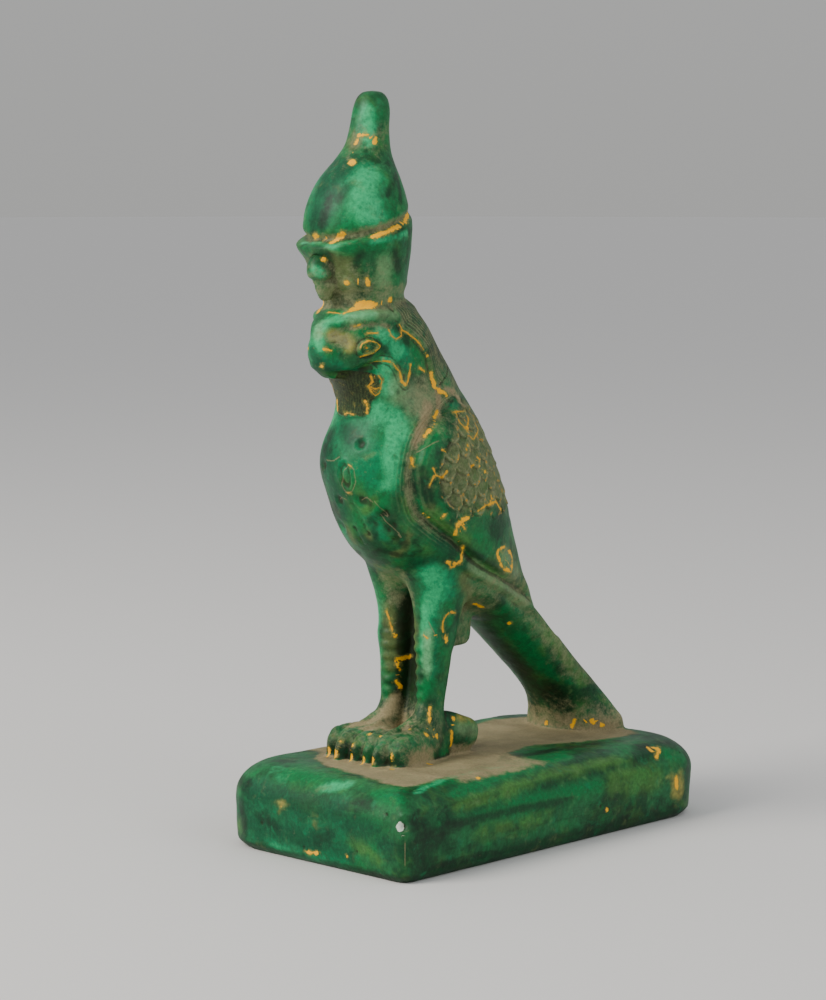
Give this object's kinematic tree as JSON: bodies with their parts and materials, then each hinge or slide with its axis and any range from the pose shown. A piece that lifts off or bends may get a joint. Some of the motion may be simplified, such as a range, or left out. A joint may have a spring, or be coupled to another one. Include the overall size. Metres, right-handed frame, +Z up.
{
  "type": "falcon god statue",
  "caption": "Mottled green statuette of a standing falcon in a tall two-part crown, cast in one piece with its rounded rectangular plinth.",
  "frame": {"origin": "middle of the plinth's underside", "axes": "+Z up through the crown, -Y the way the falcon looks, +X towards the falcon's left side"},
  "size_m": [0.0516, 0.09, 0.145],
  "materials": {
    "green_casting": "pale cast-stone composition stained mottled emerald and dark green, half polished, with worn gold paint in the carved lines and tan dust in the hollows"
  },
  "bodies": {
    "root": {"falcon_statue": "green_casting"}
  },
  "joints": []
}
